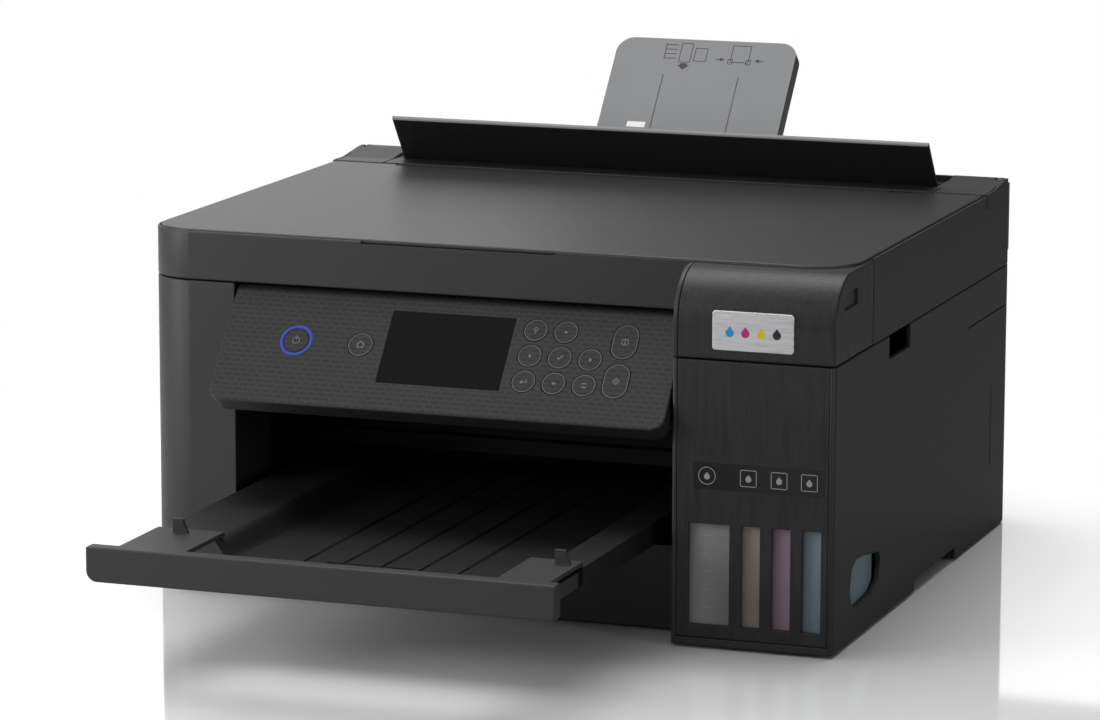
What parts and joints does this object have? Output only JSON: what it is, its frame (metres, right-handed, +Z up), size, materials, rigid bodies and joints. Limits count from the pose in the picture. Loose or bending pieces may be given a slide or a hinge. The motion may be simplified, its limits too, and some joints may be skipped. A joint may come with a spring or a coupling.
{
  "type": "inkjet printer",
  "caption": "Charcoal flatbed printer and scanner with refillable ink tanks at its right, tilting control panel, rear sheet feeder and pull-out paper tray.",
  "frame": {"origin": "middle of the bounding box on the surface the feet stand on, with tray and paper support drawn out as in the picture", "axes": "+X to the tank side, +Y from the paper tray at the front to the sheet feeder at the rear, +Z up"},
  "size_m": [0.375, 0.5458, 0.2509],
  "materials": {
    "case_charcoal": "fine grain",
    "case_satin": "satin",
    "lid_charcoal": "fine grain",
    "panel_dark": "dimpled",
    "inner_black": "plain",
    "key_dark": "gloss",
    "screen": "gloss",
    "ring_blue": "lit",
    "support_grey": "satin",
    "foot_rubber": "plain",
    "steel": "brushed",
    "glass": "clear",
    "mat_white": "foam",
    "tank_black_plastic": "translucent",
    "tank_yellow_plastic": "translucent",
    "tank_magenta_plastic": "translucent",
    "tank_cyan_plastic": "translucent",
    "cap_black_plastic": "satin",
    "cap_yellow_plastic": "satin",
    "cap_magenta_plastic": "satin",
    "cap_cyan_plastic": "satin",
    "roller_rubber": "matt",
    "gear_white": "satin",
    "board_green": "lacquered",
    "supply_grey": "plain"
  },
  "bodies": {
    "chassis": {"lower_case": "case_charcoal", "outer_case": "case_charcoal", "rubber_feet": "foot_rubber", "tank_fascia": "case_satin", "tray_guide": "inner_black", "feeder_frame": "case_charcoal", "hopper": "case_satin", "hinge_pins": "steel", "tank_black": "tank_black_plastic", "tank_yellow": "tank_yellow_plastic", "tank_magenta": "tank_magenta_plastic", "tank_cyan": "tank_cyan_plastic", "engine_frame": "steel", "carriage_belt": "roller_rubber", "carriage_motor": "steel", "platen": "inner_black", "main_board": "board_green", "power_supply": "supply_grey"},
    "scanner_unit": {"scanner_base": "case_charcoal", "scanner_top_frame": "inner_black", "platen_glass": "glass", "tank_hood": "case_satin", "scan_rod": "steel", "lid_hinge_pins": "steel"},
    "document_lid": {"document_lid": "lid_charcoal", "lid_mat": "mat_white"},
    "control_panel": {"control_panel": "panel_dark", "lcd_screen": "screen", "power_ring": "ring_blue"},
    "rear_cover": {"rear_cover": "case_charcoal"},
    "edge_guide_left": {"edge_guide_left": "case_satin"},
    "edge_guide_right": {"edge_guide_right": "case_satin"},
    "feeder_flap": {"feeder_flap": "inner_black"},
    "paper_support": {"paper_support": "support_grey"},
    "scan_carriage": {"scan_carriage": "inner_black"},
    "power_button": {"power_button": "key_dark"},
    "home_button": {"home_button": "key_dark"},
    "key_help": {"key_help": "key_dark"},
    "key_up": {"key_up": "key_dark"},
    "key_left": {"key_left": "key_dark"},
    "key_ok": {"key_ok": "key_dark"},
    "key_right": {"key_right": "key_dark"},
    "key_back": {"key_back": "key_dark"},
    "key_down": {"key_down": "key_dark"},
    "key_duplex": {"key_duplex": "key_dark"},
    "key_stop": {"key_stop": "key_dark"},
    "key_start": {"key_start": "key_dark"},
    "output_tray": {"output_tray": "case_satin"},
    "paper_stop": {"paper_stop": "case_satin"},
    "cap_black": {"cap_black": "cap_black_plastic"},
    "cap_yellow": {"cap_yellow": "cap_yellow_plastic"},
    "cap_magenta": {"cap_magenta": "cap_magenta_plastic"},
    "cap_cyan": {"cap_cyan": "cap_cyan_plastic"},
    "print_carriage": {"print_carriage": "inner_black"},
    "motor_pulley": {"motor_pulley": "steel"},
    "idler_pulley": {"idler_pulley": "steel"},
    "feed_roller": {"feed_roller": "roller_rubber"},
    "eject_roller": {"eject_roller": "roller_rubber"},
    "idler_gear": {"idler_gear": "gear_white"},
    "pickup_roller": {"pickup_roller": "roller_rubber"}
  },
  "joints": [
    {"name": "scanner_hinge", "type": "hinge", "parent": "chassis", "child": "scanner_unit", "pos_m": [0, 0.21311, 0.186], "axis": [-1, 0, 0], "range_deg": [0, 26]},
    {"name": "lid_hinge", "type": "hinge", "parent": "scanner_unit", "child": "document_lid", "pos_m": [0, 0.16501, 0.1835], "axis": [-1, 0, 0], "range_deg": [0, 80]},
    {"name": "flap_hinge", "type": "hinge", "parent": "chassis", "child": "feeder_flap", "pos_m": [0, 0.19511, 0.1845], "axis": [-1, 0, 0], "range_deg": [0, 90]},
    {"name": "support_slide", "type": "slide", "parent": "chassis", "child": "paper_support", "axis": [0, 0.6428, 0.766], "range_m": [-0.086, 0]},
    {"name": "panel_hinge", "type": "hinge", "parent": "chassis", "child": "control_panel", "pos_m": [0, -0.08089, 0.1545], "axis": [-1, 0, 0], "range_deg": [-39, 11]},
    {"name": "tray_slide", "type": "slide", "parent": "chassis", "child": "output_tray", "axis": [0, -1, 0], "range_m": [-0.132, 0]},
    {"name": "stop_slide", "type": "slide", "parent": "output_tray", "child": "paper_stop", "axis": [0, -1, 0], "range_m": [-0.054, 0]},
    {"name": "guide_left_slide", "type": "slide", "parent": "chassis", "child": "edge_guide_left", "axis": [1, 0, 0], "range_m": [0, 0.05]},
    {"name": "guide_right_slide", "type": "slide", "parent": "chassis", "child": "edge_guide_right", "axis": [1, 0, 0], "range_m": [-0.05, 0]},
    {"name": "power_button_press", "type": "slide", "parent": "control_panel", "child": "power_button", "axis": [0, 0.7771, -0.6293], "range_m": [0, 0.0008], "stiffness_N_per_m": 500},
    {"name": "home_button_press", "type": "slide", "parent": "control_panel", "child": "home_button", "axis": [0, 0.7771, -0.6293], "range_m": [0, 0.0008], "stiffness_N_per_m": 500},
    {"name": "key_help_press", "type": "slide", "parent": "control_panel", "child": "key_help", "axis": [0, 0.7771, -0.6293], "range_m": [0, 0.0008], "stiffness_N_per_m": 500},
    {"name": "key_up_press", "type": "slide", "parent": "control_panel", "child": "key_up", "axis": [0, 0.7771, -0.6293], "range_m": [0, 0.0008], "stiffness_N_per_m": 500},
    {"name": "key_left_press", "type": "slide", "parent": "control_panel", "child": "key_left", "axis": [0, 0.7771, -0.6293], "range_m": [0, 0.0008], "stiffness_N_per_m": 500},
    {"name": "key_ok_press", "type": "slide", "parent": "control_panel", "child": "key_ok", "axis": [0, 0.7771, -0.6293], "range_m": [0, 0.0008], "stiffness_N_per_m": 500},
    {"name": "key_right_press", "type": "slide", "parent": "control_panel", "child": "key_right", "axis": [0, 0.7771, -0.6293], "range_m": [0, 0.0008], "stiffness_N_per_m": 500},
    {"name": "key_back_press", "type": "slide", "parent": "control_panel", "child": "key_back", "axis": [0, 0.7771, -0.6293], "range_m": [0, 0.0008], "stiffness_N_per_m": 500},
    {"name": "key_down_press", "type": "slide", "parent": "control_panel", "child": "key_down", "axis": [0, 0.7771, -0.6293], "range_m": [0, 0.0008], "stiffness_N_per_m": 500},
    {"name": "key_duplex_press", "type": "slide", "parent": "control_panel", "child": "key_duplex", "axis": [0, 0.7771, -0.6293], "range_m": [0, 0.0008], "stiffness_N_per_m": 500},
    {"name": "key_stop_press", "type": "slide", "parent": "control_panel", "child": "key_stop", "axis": [0, 0.7771, -0.6293], "range_m": [0, 0.0008], "stiffness_N_per_m": 500},
    {"name": "key_start_press", "type": "slide", "parent": "control_panel", "child": "key_start", "axis": [0, 0.7771, -0.6293], "range_m": [0, 0.0008], "stiffness_N_per_m": 500},
    {"name": "cap_black_hinge", "type": "hinge", "parent": "chassis", "child": "cap_black", "pos_m": [0, -0.06629, 0.112], "axis": [-1, 0, 0], "range_deg": [0, 100]},
    {"name": "cap_yellow_hinge", "type": "hinge", "parent": "chassis", "child": "cap_yellow", "pos_m": [0, -0.06629, 0.112], "axis": [-1, 0, 0], "range_deg": [0, 100]},
    {"name": "cap_magenta_hinge", "type": "hinge", "parent": "chassis", "child": "cap_magenta", "pos_m": [0, -0.06629, 0.112], "axis": [-1, 0, 0], "range_deg": [0, 100]},
    {"name": "cap_cyan_hinge", "type": "hinge", "parent": "chassis", "child": "cap_cyan", "pos_m": [0, -0.06629, 0.112], "axis": [-1, 0, 0], "range_deg": [0, 100]},
    {"name": "scan_carriage_slide", "type": "slide", "parent": "scanner_unit", "child": "scan_carriage", "axis": [1, 0, 0], "range_m": [0, 0.27]},
    {"name": "print_carriage_slide", "type": "slide", "parent": "chassis", "child": "print_carriage", "axis": [1, 0, 0], "range_m": [-0.24, 0]},
    {"name": "motor_pulley_spin", "type": "hinge", "parent": "chassis", "child": "motor_pulley", "pos_m": [-0.1415, 0.09911, 0.128], "axis": [0, -1, 0], "range_deg": [-2300, 0]},
    {"name": "idler_pulley_spin", "type": "hinge", "parent": "chassis", "child": "idler_pulley", "pos_m": [0.1305, 0.09911, 0.128], "axis": [0, -1, 0], "range_deg": [-2300, 0]},
    {"name": "feed_roller_spin", "type": "hinge", "parent": "chassis", "child": "feed_roller", "pos_m": [0, 0.10311, 0.084], "axis": [1, 0, 0], "continuous": true},
    {"name": "idler_gear_spin", "type": "hinge", "parent": "chassis", "child": "idler_gear", "pos_m": [-0.1705, 0.05561, 0.084], "axis": [1, 0, 0], "continuous": true},
    {"name": "eject_roller_spin", "type": "hinge", "parent": "chassis", "child": "eject_roller", "pos_m": [0, 0.00811, 0.084], "axis": [1, 0, 0], "continuous": true},
    {"name": "pickup_roller_spin", "type": "hinge", "parent": "chassis", "child": "pickup_roller", "pos_m": [0, 0.13692, 0.11964], "axis": [-1, 0, 0], "continuous": true},
    {"name": "rear_cover_pull", "type": "slide", "parent": "chassis", "child": "rear_cover", "axis": [0, 1, 0], "range_m": [0, 0.03]}
  ],
  "couplings": [
    {"joint": "guide_right_slide", "follows": "guide_left_slide", "ratio": -1},
    {"joint": "motor_pulley_spin", "follows": "print_carriage_slide", "rad_per_m": 166.67},
    {"joint": "idler_pulley_spin", "follows": "print_carriage_slide", "rad_per_m": 166.67},
    {"joint": "idler_gear_spin", "follows": "feed_roller_spin", "ratio": -0.50794},
    {"joint": "eject_roller_spin", "follows": "feed_roller_spin", "ratio": 1}
  ]
}
